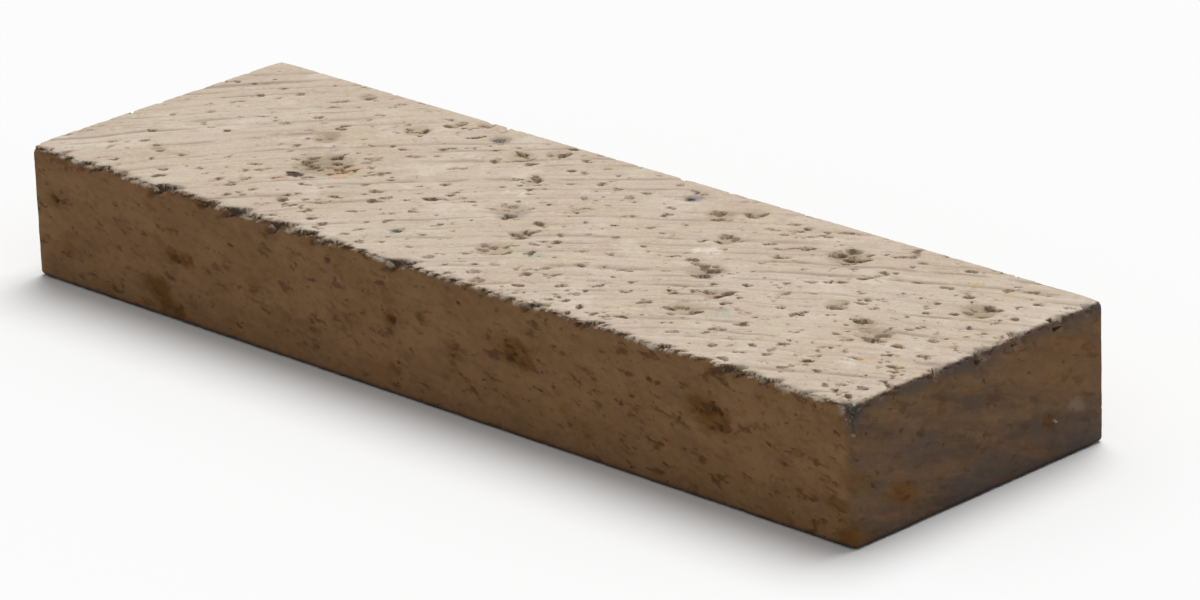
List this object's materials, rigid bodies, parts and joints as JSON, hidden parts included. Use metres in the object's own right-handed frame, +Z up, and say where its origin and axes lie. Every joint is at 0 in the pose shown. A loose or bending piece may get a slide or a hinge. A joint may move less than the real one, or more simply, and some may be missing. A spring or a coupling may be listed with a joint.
{
  "type": "tuff slab",
  "caption": "Rectangular slab of sawn volcanic tuff with arc-shaped saw marks, open vugs and worn, chipped arrises, laid flat as building stone.",
  "frame": {"origin": "middle of the lower bed face, on the floor", "axes": "+X along the length, +Y across the width, +Z up through the thickness"},
  "size_m": [1.2, 0.37, 0.15],
  "materials": {
    "tuff": "sawn, porous, matt"
  },
  "bodies": {
    "root": {"tuff_slab": "tuff"}
  },
  "joints": []
}
